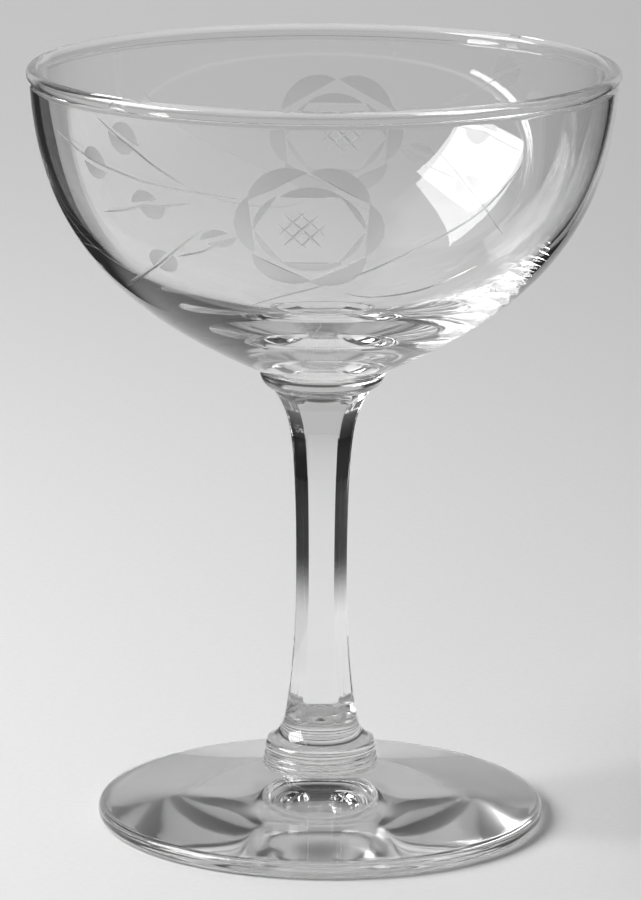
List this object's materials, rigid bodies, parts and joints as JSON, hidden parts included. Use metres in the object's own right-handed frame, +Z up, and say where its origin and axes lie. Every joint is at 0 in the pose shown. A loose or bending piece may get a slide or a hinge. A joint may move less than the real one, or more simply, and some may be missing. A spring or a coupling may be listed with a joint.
{
  "type": "sherbet glass",
  "caption": "Clear stemmed sherbet glass: a rounded bowl with a beaded rim on a merese, a panelled stem flared at both ends, a ringed collar and a low conical foot.",
  "frame": {"origin": "centre of the ring on which the foot rests, at table level", "axes": "+Z up along the glass's axis of symmetry; one flat of the stem faces -Y, the side from which the picture was taken"},
  "size_m": [0.097, 0.097, 0.127],
  "materials": {
    "blown_glass": "clear, fire-polished, with a wheel-cut spray of roses and leaves",
    "pressed_glass": "clear, fire-polished, with soft pressed edges"
  },
  "bodies": {
    "root": {"bowl": "blown_glass", "upper_merese": "pressed_glass", "stem": "pressed_glass", "lower_collar": "pressed_glass", "foot": "pressed_glass"}
  },
  "joints": []
}
